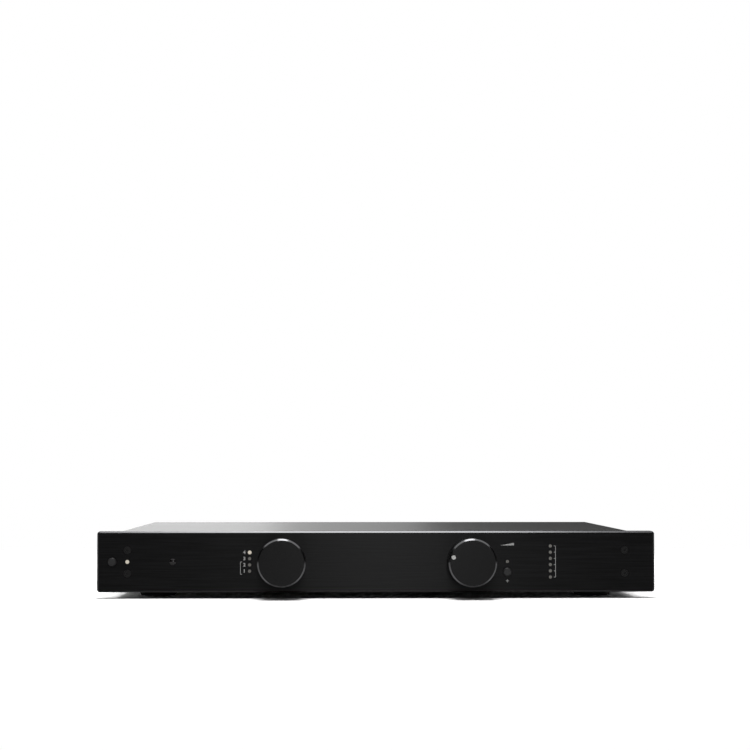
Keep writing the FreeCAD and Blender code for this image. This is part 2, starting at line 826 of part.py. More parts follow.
def gear(teeth, x, first_tooth, bore):
    """Spur gear with involute flanks, its bore round the shaft."""
    pitch_radius = gear_module * teeth / 2
    base_radius = pitch_radius * math.cos(gear_pressure_angle)
    tip_radius = pitch_radius + gear_addendum * gear_module
    root_radius = pitch_radius - gear_dedendum * gear_module
    flank_start = max(base_radius, root_radius)
    thin = gear_backlash / (2 * pitch_radius)

    def involute(angle):
        return math.tan(angle) - angle

    def half_tooth(radius):
        slope = math.acos(min(1.0, base_radius / radius))
        return math.pi / (2 * teeth) + involute(gear_pressure_angle) - involute(slope) - thin

    def spot(radius, angle):
        return Vector(x + radius * math.cos(angle), gear_front, axis_height + radius * math.sin(angle))

    radii = [flank_start + (tip_radius - flank_start) * i / 3 for i in range(4)]
    outline = []
    ends = []
    for k in range(teeth):
        middle = first_tooth + 2 * math.pi * k / teeth
        rising = [spot(r, middle - half_tooth(r)) for r in radii]
        falling = [spot(r, middle + half_tooth(r)) for r in reversed(radii)]
        roots = [spot(root_radius, middle - half_tooth(flank_start)),
                 spot(root_radius, middle + half_tooth(flank_start))]
        ends.append((roots, rising, falling))
    for k, (roots, rising, falling) in enumerate(ends):
        for flank in (rising, falling):
            curve = Part.BSplineCurve()
            curve.interpolate(flank)
            outline.append(curve.toShape())
        outline.append(Part.makeLine(rising[-1], falling[0]))
        if flank_start > root_radius:
            outline.append(Part.makeLine(roots[0], rising[0]))
            outline.append(Part.makeLine(falling[-1], roots[1]))
            outline.append(Part.makeLine(roots[1], ends[(k + 1) % teeth][0][0]))
        else:
            outline.append(Part.makeLine(falling[-1], ends[(k + 1) % teeth][1][0]))
    face = Part.Face(Part.Wire(Part.__sortEdges__(outline)))
    return face.extrude(BACK * gear_width).cut(rod(x, axis_height, bore, gear_front, gear_back))


def volume_gear():
    return gear(gear_teeth, volume_x, 0, gear_bore_radius)


def motor_pinion():
    """Pinion pressed on the motor's spindle."""
    wheel = gear(pinion_teeth, motor_x, math.pi / pinion_teeth, motor_spindle_radius)
    spindle = rod(motor_x, axis_height, motor_spindle_radius, gear_front,
                  gear_plate_back + motor_spindle_depth)
    return joined([wheel, spindle])


def gear_plate():
    """Plate that holds the motor behind the volume control, on four posts."""
    left = volume_x - volume_body_half
    plate = block(left, volume_x + volume_body_half + gear_plate_overhang, gear_plate_front, gear_plate_back,
                  axis_height - volume_body_half, axis_height + volume_body_half)
    plate = plate.cut(rod(motor_x, axis_height, spindle_hole_radius, gear_plate_front, gear_plate_back))
    reach = volume_body_half - gear_post_inset
    posts = [rod(volume_x + side * reach, axis_height + up * reach, gear_post_radius,
                 volume_body_back, gear_plate_front) for side in (-1, 1) for up in (-1, 1)]
    return joined([plate] + posts)


def volume_motor():
    can = rod(motor_x, axis_height, motor_radius, gear_plate_back, gear_plate_back + motor_length)
    return can.cut(rod(motor_x, axis_height, motor_spindle_radius + running_gap, gear_plate_back,
                       gear_plate_back + motor_spindle_depth + 1))


# ---- boards and what is on them ----

def indicator_boards():
    """Two upright boards behind the panel, with a light chip for each light pipe."""
    boards = [block(left, right, indicator_board_face, indicator_board_face + board_thickness,
                    indicator_board_bottom, indicator_board_top)
              for left, right in (source_board_x, level_board_x)]
    holes = [rod(x, z, board_screw_radius + running_gap, indicator_board_face - 1,
                 indicator_board_face + board_thickness + 1) for x, z in indicator_spacer_places()]
    chips = [block_about(x, z, 2 * light_chip_half, 2 * light_chip_half,
                         indicator_board_face - light_chip, indicator_board_face)
             for x, z in source_light_places + rate_light_places + [(gain_x, axis_height)]]
    return group([board.cut(holes) for board in boards] + chips)


def board_spacers():
    """Threaded spacers pressed into the tray's floor and front wall."""
    spacers = []
    for x, y in board_spacer_places():
        body = joined([post(x, y, spacer_stub_radius, case_bottom, tray_floor),
                       post(x, y, spacer_radius, tray_floor, board_bottom)])
        spacers.append(body.cut(post(x, y, spacer_bore_radius, board_bottom - spacer_bore_depth, board_bottom)))
    for x, z in indicator_spacer_places():
        body = joined([rod(x, z, spacer_stub_radius, panel_thickness, front_wall_back),
                       rod(x, z, spacer_radius, front_wall_back, indicator_board_face)])
        spacers.append(body.cut(rod(x, z, spacer_bore_radius, indicator_board_face - spacer_bore_depth,
                                    indicator_board_face)))
    return group(spacers)


def board_screws():
    screws = [screw(board_screw_radius, board_screw_length, board_screw_head_radius, board_screw_head,
                    low_head_key, Vector(x, y, board_top), UP) for x, y in board_spacer_places()]
    screws += [screw(board_screw_radius, board_screw_length, board_screw_head_radius, board_screw_head,
                     low_head_key, Vector(x, indicator_board_face + board_thickness, z), BACK)
               for x, z in indicator_spacer_places()]
    return group(screws)


def circuit_board(span, front):
    board = block(span[0], span[1], front, board_rear, board_bottom, board_top)
    return board.cut([post(x, y, board_screw_radius + running_gap, board_bottom - 1, board_top + 1)
                      for x, y in board_spacer_places() if span[0] < x < span[1] and y > front])


def on_board(x, y, width, depth, height):
    """A component with a rectangular body, standing on a board."""
    return block(x - width / 2, x + width / 2, y - depth / 2, y + depth / 2, board_top, board_top + height)


def power_board_components():
    """Reservoir capacitors, a finned regulator heat sink, mains terminals and headers."""
    left, right = power_board_x
    middle = (left + right) / 2
    capacitor_radius = 7.5
    capacitor_height = min(26.0, ceiling - board_top - 4)
    capacitor_y = (power_board_front + board_rear) / 2
    parts = [post(left + 24 + i * 18, capacitor_y, capacitor_radius, board_top, board_top + capacitor_height)
             for i in range(4)]
    parts.append(on_board(transformer_x, power_board_front + header_depth / 2 + 8, 30, header_depth,
                          header_height))
    parts.append(on_board(inlet_x, mains_terminal_y(), 34, 2 * header_depth, mains_terminal_height()))
    parts.append(on_board(right - 4, capacitor_y, 5, 22, header_height))
    sink = on_board(middle, capacitor_y + 22, 40, 6, capacitor_height)
    fins = [on_board(middle + i * 6, capacitor_y + 15, 1.5, 8, capacitor_height) for i in range(-3, 4)]
    if board_rear - capacitor_y > 45:
        parts.append(joined([sink] + fins))
    return group(parts)


def mains_terminal_y():
    return board_rear - header_depth


def mains_terminal_height():
    return inlet_cavity_z - blade_drop + wire_radius + 2 - board_top


def main_board_components():
    """Converter chips, output relays, coupling capacitors and the headers for the wiring."""
    left, right = main_board_x
    front = main_board_front
    depth = board_rear - front
    middle = (left + right) / 2
    parts = [on_board(middle - 20, front + depth * 0.35, 18, 18, 2.0),
             on_board(middle - 58, front + depth * 0.35, 14, 14, 2.0)]
    for i in range(4):
        parts.append(on_board(middle + 30 + i * 22, front + depth * 0.35, 6, 5, 1.8))
        parts.append(on_board(middle + 30 + i * 22, front + depth * 0.62, 12, 16, 8.0))
        parts.append(post(middle + 30 + i * 22, front + depth * 0.48, 4.0, board_top, board_top + 9.0))
    for i in range(5):
        parts.append(post(left + 20 + i * 12, front + depth * 0.6, 4.0, board_top, board_top + 12.0))
    for x in (main_header_x("standby"), main_header_x("source"), main_header_x("motor"),
              main_header_x("level")):
        parts.append(on_board(x, front + header_depth / 2 + 1, 8, header_depth, header_height))
    parts.append(on_board(left + 5, (power_board_front + board_rear) / 2, 5, 22, header_height))
    for x in rear_signal_places():
        parts.append(on_board(x, board_rear - header_depth, 7, header_depth, header_height))
    return group(parts)


def main_header_x(name):
    return {"standby": main_board_x[0] + 14, "source": main_board_x[0] + 30,
            "motor": motor_x, "level": rate_lights_x - 10}[name]


def rear_signal_places():
    return [x for x in rca_places + balanced_places if main_board_x[0] + 4 < x < main_board_x[1] - 4]


# ---- mains transformer ----

def toroid():
    ring = post(transformer_x, transformer_y, transformer_radius, transformer_bottom, transformer_top)
    ring = ring.cut(post(transformer_x, transformer_y, transformer_hole_radius,
                         transformer_bottom, transformer_top))
    edges = [edge for z in (transformer_bottom, transformer_top) for edge in edges_at(ring, "Z", z)]
    return ring.makeFillet(transformer_edge, edges)


def transformer_leads():
    """Secondary wires from the winding to the power board."""
    z = board_top + header_height / 2
    end = power_board_front + 8
    return [rod(transformer_x + i * 6, z, wire_radius, transformer_y + transformer_radius - 3, end)
            for i in (-1.5, -0.5, 0.5, 1.5)]


def transformer():
    return toroid().cut(transformer_leads())


def transformer_pads():
    inside = transformer_hole_radius
    pads = []
    for z in (tray_floor, transformer_top):
        disc = post(transformer_x, transformer_y, transformer_radius - transformer_edge, z, z + transformer_pad)
        pads.append(disc.cut(post(transformer_x, transformer_y, inside, z, z + transformer_pad)))
    return group(pads)


def transformer_clamp():
    """Steel washer, bolt from under the tray and nut that hold the transformer down."""
    top = clamp_washer_bottom + clamp_washer
    washer = post(transformer_x, transformer_y, clamp_washer_radius, clamp_washer_bottom, top)
    washer = washer.cut(post(transformer_x, transformer_y, clamp_bolt_radius + screw_gap,
                             clamp_washer_bottom, top))
    bolt = screw(clamp_bolt_radius, top + clamp_nut_height - case_bottom, clamp_bolt_head_radius,
                 clamp_bolt_head, bushing_radius, Vector(transformer_x, transformer_y, case_bottom), -UP)
    ring = nut(clamp_nut_flats, clamp_nut_height, clamp_bolt_radius + running_gap,
               Vector(transformer_x, transformer_y, top), UP)
    return group([washer, bolt, ring])


# ---- rear connectors ----

def connector_screw_places():
    places = [(inlet_x + side * inlet_screw_spread, connector_height) for side in (-1, 1)]
    for x in balanced_places:
        places += [(x - balanced_screw_x, connector_height + balanced_screw_z),
                   (x + balanced_screw_x, connector_height - balanced_screw_z)]
    return places + option_screw_places()


def option_screw_places():
    reach_x = option_width / 2 - option_screw_inset
    reach_z = option_plate_height / 2 - option_screw_inset
    return [(option_x + side * reach_x, connector_height + up * reach_z)
            for side in (-1, 1) for up in (-1, 1)]


def connector_screws():
    screws = []
    for x, z in connector_screw_places():
        thickness = option_plate_thickness if (x, z) in option_screw_places() else flange
        screws.append(screw(screw_radius, connector_screw_length, connector_screw_head_radius,
                            connector_screw_head, low_head_key, Vector(x, rear_face + thickness, z), BACK))
    return group(screws)


def blade(x, z):
    return block_about(x, z, blade_thickness, blade_width, rear_face - inlet_body_depth - blade_tail,
                       rear_face + flange - blade_recess)


def mains_inlet_blades():
    """Live, neutral and earth blades of the mains inlet."""
    return group([blade(inlet_x - blade_spread, inlet_cavity_z - blade_drop),
                  blade(inlet_x + blade_spread, inlet_cavity_z - blade_drop),
                  blade(inlet_x, inlet_cavity_z + blade_drop)])


def mains_inlet():
    """Three-pin appliance inlet with a fuse drawer below its cavity."""
    mouth = rear_face + flange
    plate = block_about(inlet_x, connector_height, inlet_width, inlet_height, rear_face, mouth)
    body = block_about(inlet_x, connector_height, inlet_body_width, inlet_body_height,
                       rear_face - inlet_body_depth, rear_face)
    cavity = block_about(inlet_x, inlet_cavity_z, inlet_cavity_width, inlet_cavity_height,
                         mouth - inlet_cavity_depth, mouth)
    top = inlet_cavity_z + inlet_cavity_height / 2
    corners = [edge for edge in edges_along(cavity, "Y", inlet_cavity_depth) if edge.BoundBox.ZMin > top - 1]
    cavity = cavity.makeChamfer(inlet_cavity_corner, corners)
    drawer_room = block_about(inlet_x, drawer_z, drawer_width + 2 * slip, drawer_height + 2 * slip,
                              mouth - drawer_pocket_depth, mouth)
    holes = [rod(inlet_x + side * inlet_screw_spread, connector_height, screw_radius + screw_gap,
                 rear_face, mouth) for side in (-1, 1)]
    return joined([plate, body]).cut([cavity, drawer_room, mains_inlet_blades()] + holes)


def fuse_drawer():
    """Small drawer with a cradle for the fuse and a lip to pull it by."""
    mouth = rear_face + flange
    body = block_about(inlet_x, drawer_z, drawer_width, drawer_height, mouth - drawer_depth, mouth + running_gap)
    lip = block_about(inlet_x, drawer_z, drawer_width + 2 * drawer_lip_margin,
                      drawer_height + 2 * drawer_lip_margin, mouth + running_gap, mouth + running_gap + drawer_lip)
    cradle_half = fuse_radius + slip
    cradle = block(inlet_x - fuse_length / 2 - slip, inlet_x + fuse_length / 2 + slip,
                   fuse_y() - cradle_half, fuse_y() + cradle_half,
                   drawer_z - fuse_radius, drawer_z + drawer_height / 2)
    return joined([body, lip]).cut(cradle)


def fuse_y():
    return rear_face + flange - drawer_depth / 2


def fuse():
    return cross_pin(fuse_y(), drawer_z, fuse_radius, inlet_x - fuse_length / 2, inlet_x + fuse_length / 2)


def mains_switch():
    """Housing of the rocker switch, snapped into the rear panel."""
    mouth = rear_face + flange
    inner_width = rocker_width + 2 * slip
    inner_height = 2 * (rocker_radius + 2 * slip)
    bezel = block_about(mains_switch_x, connector_height, mains_switch_width, mains_switch_height,
                        rear_face, mouth)
    body = block_about(mains_switch_x, connector_height, mains_switch_width - 3, mains_switch_height - 2,
                       rear_face - mains_switch_body_depth, rear_face)
    room = block_about(mains_switch_x, connector_height, inner_width, inner_height,
                       rear_face - mains_switch_body_depth + mains_switch_wall, mouth)
    reach = inner_width / 2 + trunnion_length
    holes = cross_pin(mains_pivot_y, connector_height, trunnion_radius + running_gap,
                      mains_switch_x - reach, mains_switch_x + reach)
    return joined([bezel, body]).cut([room, holes])


def mains_rocker():
    """Rocker with a shallow V face, turning on two trunnions and resting tilted to one side."""
    left = mains_switch_x - rocker_width / 2
    right = mains_switch_x + rocker_width / 2
    drum = cross_pin(mains_pivot_y, connector_height, rocker_radius, left, right)
    far = 2 * rocker_radius
    rise = rocker_face + far * math.tan(rocker_slope)
    outline = [(rocker_face, 0), (rise, far), (rise + far, far), (rise + far, -far), (rise, -far)]
    points = [Vector(left, mains_pivot_y + out, connector_height + up) for out, up in outline]
    notch = Part.Face(Part.makePolygon(points + points[:1])).extrude(RIGHT * rocker_width)
    reach = rocker_width / 2 + slip + trunnion_length - running_gap
    trunnions = cross_pin(mains_pivot_y, connector_height, trunnion_radius,
                          mains_switch_x - reach, mains_switch_x + reach)
    rocker = joined([drum.cut(notch), trunnions])
    rocker.rotate(Vector(mains_switch_x, mains_pivot_y, connector_height), RIGHT, -rocker_rest_tilt)
    return rocker


def rca_shells():
    """Plated shells of the phono sockets: threaded neck, flange and outer contact."""
    shells = []
    for x in rca_places:
        flange_front = rear_face + rca_washer
        body = joined([rod(x, connector_height, rca_neck_radius, rear_face - rca_neck_length, flange_front),
                       rod(x, connector_height, rca_flange_radius, flange_front, flange_front + rca_flange),
                       rod(x, connector_height, rca_barrel_radius, flange_front + rca_flange, rca_end)])
        shells.append(body.cut(rod(x, connector_height, rca_bore_radius, rear_face - rca_neck_length, rca_end)))
    return group(shells)


def rca_insulators():
    """Insulating core of each phono socket and the coloured washer under its flange."""
    pieces = []
    for x in rca_places:
        core = rod(x, connector_height, rca_bore_radius, rear_face - rca_neck_length, rca_end - rca_mouth_depth)
        pieces.append(core.cut(rod(x, connector_height, rca_contact_radius,
                                   rear_face - rca_neck_length, rca_end)))
        washer = rod(x, connector_height, rca_washer_radius, rear_face, rear_face + rca_washer)
        pieces.append(washer.cut(rod(x, connector_height, rca_neck_radius, rear_face, rear_face + rca_washer)))
    return group(pieces)


def rca_contacts():
    """Centre contacts of the phono sockets, bored for the plug's pin."""
    contacts = []
    for x in rca_places:
        end = rca_end - rca_mouth_depth
        tube = rod(x, connector_height, rca_contact_radius,
                   rear_face - rca_neck_length - rca_contact_tail, end)
        contacts.append(tube.cut(rod(x, connector_height, rca_contact_bore, end - rca_contact_bore_depth, end)))
    return group(contacts)


def balanced_pins_at(x):
    start = rear_face + flange - balanced_insert_depth - balanced_insert - balanced_pin_tail
    pins = []
    for angle in (90, 210, 330):
        turn = math.radians(angle)
        pins.append(rod(x + balanced_pin_circle * math.cos(turn),
                        connector_height + balanced_pin_circle * math.sin(turn),
                        balanced_pin_radius, start, rear_face + flange - balanced_pin_recess))
    return pins


def xlr_pins():
    return group([pin for x in balanced_places for pin in balanced_pins_at(x)])


def xlr_inserts():
    """Insulating discs that hold the three pins of each balanced output."""
    back = rear_face + flange - balanced_insert_depth
    return group([rod(x, connector_height, balanced_bore_radius, back - balanced_insert, back)
                  .cut(balanced_pins_at(x)) for x in balanced_places])


def xlr_shells():
    """Die-cast shells of the balanced outputs, each with a rectangular flange."""
    shells = []
    mouth = rear_face + flange
    for x in balanced_places:
        plate = block_about(x, connector_height, balanced_width, balanced_height, rear_face, mouth)
        barrel = rod(x, connector_height, balanced_shell_radius, rear_face - balanced_shell_depth, rear_face)
        bore = rod(x, connector_height, balanced_bore_radius, rear_face - balanced_shell_depth, mouth)
        holes = [rod(x + side * balanced_screw_x, connector_height - side * balanced_screw_z,
                     screw_radius + screw_gap, rear_face, mouth) for side in (-1, 1)]
        shells.append(joined([plate, barrel]).cut([bore] + holes))
    return group(shells)


def toslink_housing():
    """Optical input: a square nose through the rear panel with a spring flap in its mouth."""
    mouth = rear_face + optical_proud
    nose = block_about(optical_x, connector_height, optical_face_width, optical_face_height, rear_inside, mouth)
    body = block_about(optical_x, connector_height, optical_face_width + 2 * optical_shoulder,
                       optical_face_height + 2 * optical_shoulder, rear_inside - optical_depth, rear_inside)
    cavity = block_about(optical_x, connector_height, optical_cavity_width, optical_cavity_height,
                         mouth - optical_cavity_depth, mouth)
    reach = optical_cavity_width / 2 + flap_pin_length
    bearing = cross_pin(flap_pivot_y, flap_pivot_z, flap_pin_radius + running_gap,
                        optical_x - reach, optical_x + reach)
    return joined([nose, body]).cut([cavity, bearing])


def toslink_flap():
    """Flap that closes the optical input and swings in when a plug is pushed home."""
    half_width = optical_cavity_width / 2 - flap_side_gap
    leaf = block(optical_x - half_width, optical_x + half_width, flap_pivot_y - flap_thickness / 2,
                 flap_pivot_y + flap_thickness / 2, flap_pivot_z - flap_length, flap_pivot_z)
    reach = optical_cavity_width / 2 + flap_pin_length - running_gap
    pin = cross_pin(flap_pivot_y, flap_pivot_z, flap_pin_radius, optical_x - reach, optical_x + reach)
    return joined([leaf, pin])


def option_plate():
    """Blanking plate over the opening for an input board."""
    plate = block_about(option_x, connector_height, option_width, option_plate_height,
                        rear_face, rear_face + option_plate_thickness)
    holes = [rod(x, z, screw_radius + screw_gap, rear_face, rear_face + option_plate_thickness)
             for x, z in option_screw_places()]
    return plate.cut(holes)


# ---- wiring ----

def wiring():
    """Wires between the inlet, the boards, the motor and the rear sockets."""
    wires = transformer_leads()
    terminal = mains_terminal_y() + header_depth
    blade_end = rear_face - inlet_body_depth - blade_tail
    for side in (-1, 1):
        wires.append(rod(inlet_x + side * blade_spread, inlet_cavity_z - blade_drop, wire_radius,
                         terminal, blade_end))
    middle = (power_board_front + board_rear) / 2
    link_z = board_top + header_height / 2
    for i in (-1.5, -0.5, 0.5, 1.5):
        wires.append(cross_pin(middle + i * 5, link_z, wire_radius,
                               power_board_x[1] - 1.5, main_board_x[0] + 2.5))
    header_front = main_board_front + 1
    lane = selector_body_back + 5
    standby_x = main_header_x("standby")
    wires.append(tube_along([Vector(eye_x, panel_thickness - pocket_cover_thickness, axis_height),
                             Vector(eye_x, lane, axis_height),
                             Vector(standby_x, lane, link_z),
                             Vector(standby_x, header_front, link_z)], cable_radius, wire_bend))
    board_back = indicator_board_face + board_thickness
    source_x = main_header_x("source")
    ribbon_z = axis_height + 10
    wires.append(tube_along([Vector(source_lights_x - 4, board_back, ribbon_z),
                             Vector(source_lights_x - 4, lane + 2 * wire_bend, ribbon_z),
                             Vector(source_x, lane + 2 * wire_bend, ribbon_z),
                             Vector(source_x, header_front - 2 * wire_bend, link_z),
                             Vector(source_x, header_front, link_z)], ribbon_radius, wire_bend / 2))
    level_x = main_header_x("level")
    wires.append(tube_along([Vector(level_x, board_back, ribbon_z),
                             Vector(level_x, lane + wire_bend, ribbon_z),
                             Vector(level_x, header_front - 2 * wire_bend, link_z),
                             Vector(level_x, header_front, link_z)], ribbon_radius, wire_bend))
    motor_back = gear_plate_back + motor_length
    wires.append(rod(motor_x, link_z, wire_radius, motor_back, header_front))
    for x in rca_places:
        if x in rear_signal_places():
            tail = rear_face - rca_neck_length - rca_contact_tail
            wires.append(signal_lead(x, tail, connector_height))
    for x in balanced_places:
        tail = rear_face + flange - balanced_insert_depth - balanced_insert - balanced_pin_tail
        wires.append(signal_lead(x, tail, connector_height + balanced_pin_circle))
    return group(wires)


def signal_lead(x, tail, height):
    header_back = board_rear - header_depth / 2
    link_z = board_top + header_height / 2
    bend = (tail + header_back) / 2
    return tube_along([Vector(x, tail, height), Vector(x, bend + 4, height), Vector(x, bend - 4, link_z),
                       Vector(x, header_back, link_z)], wire_radius, wire_bend / 2)


def save(name, shape):
    placed = shape.copy()
    placed.translate(Vector(0, depth_shift, 0))
    placed.exportStep("parts/" + name + ".step")


os.makedirs("parts", exist_ok=True)
save("front_panel", front_panel())
save("panel_screws", panel_screws())
save("pocket_cover", pocket_cover())
save("standby_board", standby_board())
save("power_button", button(power_button_x, axis_height, pocket_wall))
save("power_switch", push_switch(power_button_x, axis_height, standby_board_seat))
save("power_light_pipe", light_pipe(power_light_x, axis_height, pocket_wall,
                                    standby_board_seat - light_chip - slip))
save("ir_lens", ir_lens())
save("source_light_pipes", light_pipes(source_light_places))
save("gain_light_pipe", light_pipes([(gain_x, axis_height)]))
save("rate_light_pipes", light_pipes(rate_light_places))
save("gain_button", button(gain_x, gain_button_z, front_wall_back))
save("gain_switch", push_switch(gain_x, gain_button_z, indicator_board_face))
save("base_tray", base_tray())
save("top_cover", top_cover())
save("cover_screws", cover_screws())
save("rear_panel", rear_panel())
save("rear_panel_screws", rear_panel_screws())
save("feet", feet())
save("foot_screws", foot_screws())
save("press_nuts", press_nuts())
save("selector_knob", selector_knob())
save("selector_shaft", selector_shaft())
save("selector_switch", selector_switch())
save("volume_knob", volume_knob())
save("volume_pointer", volume_pointer())
save("volume_shaft", volume_shaft())
save("volume_pot", volume_pot())
save("volume_gear", volume_gear())
save("motor_pinion", motor_pinion())
save("gear_plate", gear_plate())
save("volume_motor", volume_motor())
save("panel_nuts", panel_nuts())
save("indicator_boards", indicator_boards())
save("board_spacers", board_spacers())
save("board_screws", board_screws())
save("power_board", circuit_board(power_board_x, power_board_front))
save("power_board_components", power_board_components())
save("main_board", circuit_board(main_board_x, main_board_front))
save("main_board_components", main_board_components())
save("transformer", transformer())
save("transformer_pads", transformer_pads())
save("transformer_clamp", transformer_clamp())
save("mains_inlet", mains_inlet())
save("mains_inlet_blades", mains_inlet_blades())
save("fuse_drawer", fuse_drawer())
save("fuse", fuse())
save("mains_switch", mains_switch())
save("mains_rocker", mains_rocker())
save("rca_shells", rca_shells())
save("rca_insulators", rca_insulators())
save("rca_contacts", rca_contacts())
save("xlr_shells", xlr_shells())
save("xlr_inserts", xlr_inserts())
save("xlr_pins", xlr_pins())
save("toslink_housing", toslink_housing())
save("toslink_flap", toslink_flap())
save("option_plate", option_plate())
save("connector_screws", connector_screws())
save("wiring", wiring())
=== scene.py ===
import math

import bmesh
import bpy
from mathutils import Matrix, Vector


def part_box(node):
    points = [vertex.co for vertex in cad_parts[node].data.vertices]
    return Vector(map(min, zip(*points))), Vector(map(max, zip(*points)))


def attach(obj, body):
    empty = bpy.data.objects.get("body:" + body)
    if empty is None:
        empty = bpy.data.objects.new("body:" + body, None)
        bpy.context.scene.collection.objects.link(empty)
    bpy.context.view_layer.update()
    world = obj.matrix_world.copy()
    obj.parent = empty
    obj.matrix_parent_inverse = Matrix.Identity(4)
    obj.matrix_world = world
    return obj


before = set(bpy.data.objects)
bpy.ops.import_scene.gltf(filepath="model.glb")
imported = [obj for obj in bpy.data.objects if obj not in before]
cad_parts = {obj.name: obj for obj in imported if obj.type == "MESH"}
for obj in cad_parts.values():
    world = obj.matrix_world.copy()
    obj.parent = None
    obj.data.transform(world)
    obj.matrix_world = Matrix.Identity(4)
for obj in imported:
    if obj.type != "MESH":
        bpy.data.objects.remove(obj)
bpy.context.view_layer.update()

# ---------------------------------------------------------------------------------------
# Tray: one folded sheet of zinc-plated steel that carries everything else. The floor, the
# wall behind the front panel and the low flanges at the sides and the back are one piece.


def finish(name, dark, light, roughness, grain, stretch=(1, 1, 1), relief=0.0, metallic=0.0, specular=0.5):
    """A surface whose colour, gloss and relief vary in marks about as large as grain, in metres."""
    material = bpy.data.materials.new(name)
    material.use_nodes = True
    tree = material.node_tree
    shader = tree.nodes["Principled BSDF"]
    shader.inputs["Metallic"].default_value = metallic
    shader.inputs["Specular IOR Level"].default_value = specular
    place = tree.nodes.new("ShaderNodeTexCoord")
    mapping = tree.nodes.new("ShaderNodeMapping")
    mapping.inputs["Scale"].default_value = [1 / (grain * along) for along in stretch]
    marks = tree.nodes.new("ShaderNodeTexNoise")
    marks.name = "Marks"
    marks.inputs["Scale"].default_value = 1.0
    marks.inputs["Detail"].default_value = 5.0
    tint = tree.nodes.new("ShaderNodeValToRGB")
    tint.name = "Tint"
    tint.color_ramp.elements[0].position = 0.32
    tint.color_ramp.elements[0].color = (*dark, 1)
    tint.color_ramp.elements[1].position = 0.68
    tint.color_ramp.elements[1].color = (*light, 1)
    gloss = tree.nodes.new("ShaderNodeMapRange")
    gloss.inputs["To Min"].default_value = roughness[0]
    gloss.inputs["To Max"].default_value = roughness[1]
    tree.links.new(place.outputs["Object"], mapping.inputs["Vector"])
    tree.links.new(mapping.outputs["Vector"], marks.inputs["Vector"])
    tree.links.new(marks.outputs["Fac"], tint.inputs["Fac"])
    tree.links.new(marks.outputs["Fac"], gloss.inputs["Value"])
    tree.links.new(tint.outputs["Color"], shader.inputs["Base Color"])
    tree.links.new(gloss.outputs["Result"], shader.inputs["Roughness"])
    if relief:
        bump = tree.nodes.new("ShaderNodeBump")
        bump.name = "Relief"
        bump.inputs["Distance"].default_value = relief
        tree.links.new(marks.outputs["Fac"], bump.inputs["Height"])
        tree.links.new(bump.outputs["Normal"], shader.inputs["Normal"])
    return material


def dress(material, *nodes):
    """Gives a finish to pieces of the frame."""
    for node in nodes:
        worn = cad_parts[node].data.materials
        worn.clear()
        worn.append(material)


zinc = finish("zinc_plate", (0.34, 0.35, 0.36), (0.52, 0.53, 0.53), (0.28, 0.5), 0.004,
              relief=0.00001, metallic=1.0)
dress(zinc, "base_tray")

bright_zinc = finish("bright_zinc", (0.45, 0.45, 0.44), (0.66, 0.66, 0.64), (0.2, 0.42), 0.0015,
                     relief=0.00001, metallic=1.0)
dress(bright_zinc, "foot_screws", "press_nuts", "board_screws", "board_spacers", "panel_nuts",
      "transformer_clamp")

# ---------------------------------------------------------------------------------------
# Feet: moulded rubber discs, matt and slightly dusty, each with its screw in a counterbore.

foot_rubber = finish("foot_rubber", (0.012, 0.012, 0.012), (0.026, 0.026, 0.025), (0.62, 0.85), 0.0012,
                     relief=0.00004, specular=0.35)
dress(foot_rubber, "feet")

# ---------------------------------------------------------------------------------------
# Circuit boards: green laminate with copper tracks that show through the lacquer. The
# parts on them are moulded chips, cans and headers; a board is screwed to its spacers.


def tracks(material, pitch, copper):
    """Adds rows of narrow copper tracks to a board's finish."""
    tree = material.node_tree
    shader = tree.nodes["Principled BSDF"]
    place = tree.nodes.new("ShaderNodeTexCoord")
    rows = tree.nodes.new("ShaderNodeTexBrick")
    rows.inputs["Scale"].default_value = 1 / pitch
    rows.inputs["Mortar Size"].default_value = 0.03
    rows.inputs["Mortar Smooth"].default_value = 0.1
    blend = tree.nodes.new("ShaderNodeMix")
    blend.data_type = "RGBA"
    blend.inputs["B"].default_value = (*copper, 1)
    tree.links.new(place.outputs["Object"], rows.inputs["Vector"])
    tree.links.new(rows.outputs["Fac"], blend.inputs["Factor"])
    tree.links.new(tree.nodes["Tint"].outputs["Color"], blend.inputs["A"])
    tree.links.new(blend.outputs["Result"], shader.inputs["Base Color"])


laminate = finish("board_laminate", (0.008, 0.07, 0.028), (0.014, 0.11, 0.045), (0.25, 0.42), 0.003,
                  relief=0.00001)
tracks(laminate, 0.012, (0.05, 0.24, 0.09))
dress(laminate, "standby_board", "indicator_boards", "power_board", "main_board")

chip_resin = finish("component_resin", (0.012, 0.012, 0.013), (0.03, 0.03, 0.032), (0.4, 0.6), 0.0008,
                    relief=0.00002)
dress(chip_resin, "power_board_components", "main_board_components")

wire_sleeve = finish("wire_sleeve", (0.16, 0.012, 0.01), (0.26, 0.02, 0.015), (0.35, 0.5), 0.006,
                     relief=0.00001)
dress(wire_sleeve, "wiring")

# ---------------------------------------------------------------------------------------
# Mains transformer: a ring core wound with enamelled wire under amber tape, held between
# rubber pads by a steel washer and a bolt from below.

tape = finish("winding_tape", (0.2, 0.1, 0.015), (0.42, 0.24, 0.05), (0.22, 0.4), 0.005,
              stretch=(1, 1, 5), relief=0.0001)
dress(tape, "transformer")

pad_rubber = finish("pad_rubber", (0.015, 0.015, 0.015), (0.03, 0.03, 0.03), (0.7, 0.9), 0.001,
                    relief=0.00004)
dress(pad_rubber, "transformer_pads")

# ---------------------------------------------------------------------------------------
# Rear panel: a steel plate with the same black powder coat as the cover, full of sockets.

powder = finish("powder_coat", (0.013, 0.013, 0.014), (0.021, 0.021, 0.022), (0.40, 0.52), 0.00055,
                relief=0.00003, specular=0.5)
dress(powder, "rear_panel", "option_plate")

